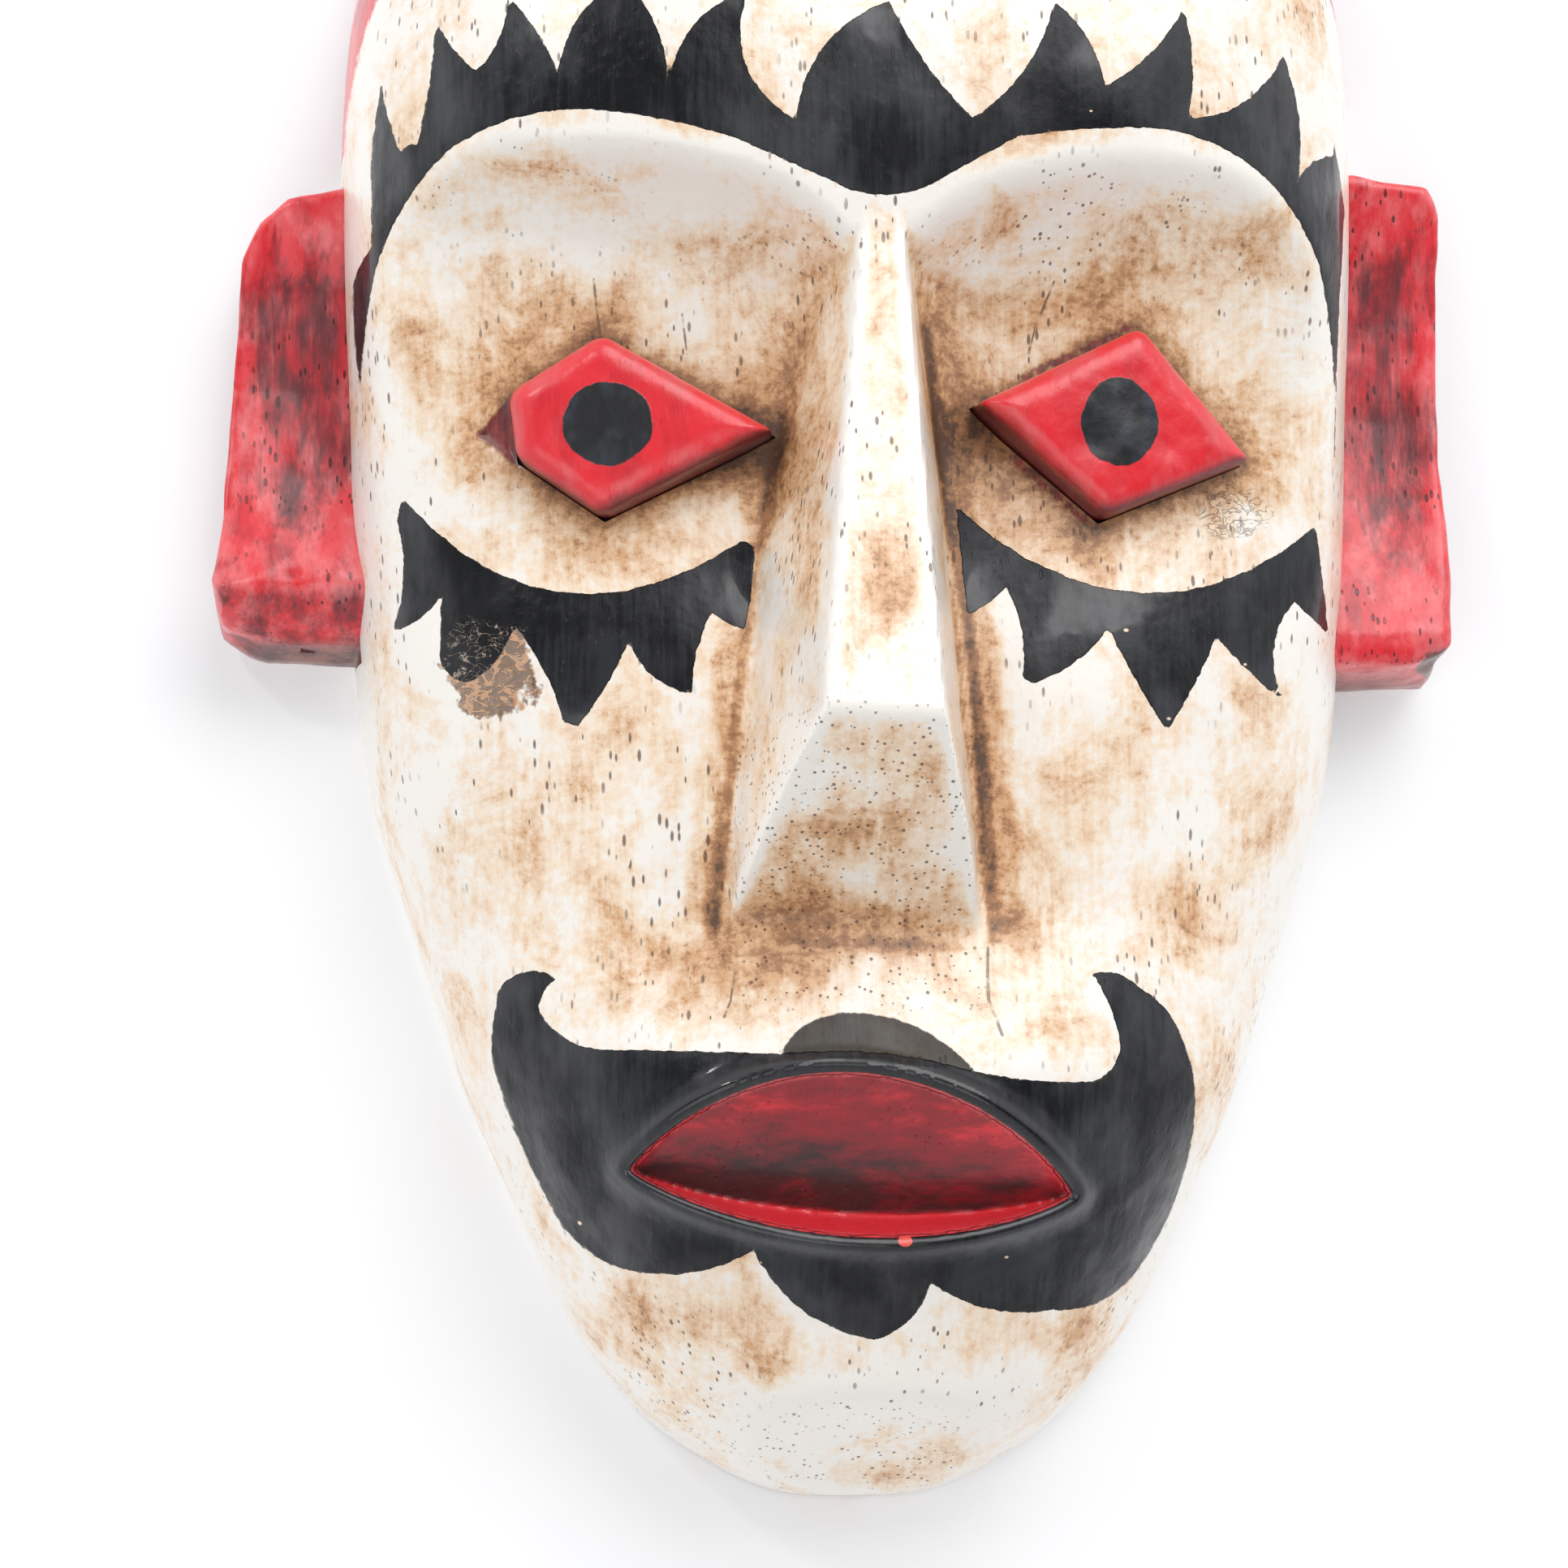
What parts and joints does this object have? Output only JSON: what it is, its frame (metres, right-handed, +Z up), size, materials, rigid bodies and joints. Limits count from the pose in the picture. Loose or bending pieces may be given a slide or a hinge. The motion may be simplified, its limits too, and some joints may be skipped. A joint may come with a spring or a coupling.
{
  "type": "carved wooden wall mask",
  "caption": "Long hollow-backed wooden wall mask with a wedge nose, lozenge eyes, side ears, open almond mouth and a hanging ring that swings out.",
  "frame": {"origin": "on the wall plane, at the middle of the top of the mask's back rim", "axes": "+X to the viewer's right, -Y towards the viewer with +Y into the wall, +Z up along the mask's length"},
  "size_m": [0.2785, 0.112, 0.406],
  "materials": {
    "antique_white_paint": "painted ivory with black and red figures, rubbed with brown stain, gloss varnish",
    "red_paint": "scarlet paint with black antiquing, gloss varnish",
    "bare_wood": "unpainted light wood",
    "zinc_steel": "zinc-plated"
  },
  "bodies": {
    "mask": {"mask_body": "antique_white_paint", "left_eye": "red_paint", "right_eye": "red_paint", "left_ear": "red_paint", "right_ear": "red_paint", "left_ear_upper_peg": "bare_wood", "left_ear_lower_peg": "bare_wood", "right_ear_upper_peg": "bare_wood", "right_ear_lower_peg": "bare_wood", "hanger_strap": "zinc_steel", "hanger_screw": "zinc_steel"},
    "ring": {"hanger_ring": "zinc_steel"}
  },
  "joints": [
    {"name": "hanger_ring_hinge", "type": "hinge", "parent": "mask", "child": "ring", "pos_m": [0, -0.00925, -0.04], "axis": [-1, 0, 0], "range_deg": [0, 165]}
  ]
}
